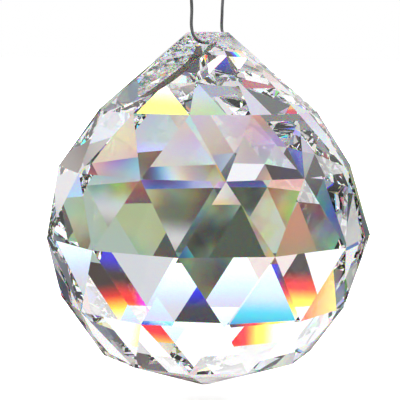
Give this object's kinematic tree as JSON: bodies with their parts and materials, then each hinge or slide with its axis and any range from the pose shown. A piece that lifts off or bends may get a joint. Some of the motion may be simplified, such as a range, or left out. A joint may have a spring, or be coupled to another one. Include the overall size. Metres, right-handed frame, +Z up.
{
  "type": "faceted crystal ball",
  "caption": "Clear cut-crystal ball with a conical crown, hung from a bent steel wire that ends in an eye.",
  "frame": {"origin": "inside top of the wire's eye, where it rests on whatever the ball hangs from", "axes": "+Z up along the ball's axis, the viewer at -Y, the eye's plane across Y"},
  "size_m": [0.0396, 0.0396, 0.0638],
  "materials": {
    "crystal": "polished clear lead crystal, the drilled hole ground matt",
    "steel_wire": "drawn steel wire, slightly dulled"
  },
  "bodies": {
    "root": {"crystal_ball": "crystal", "hanging_wire": "steel_wire"}
  },
  "joints": []
}
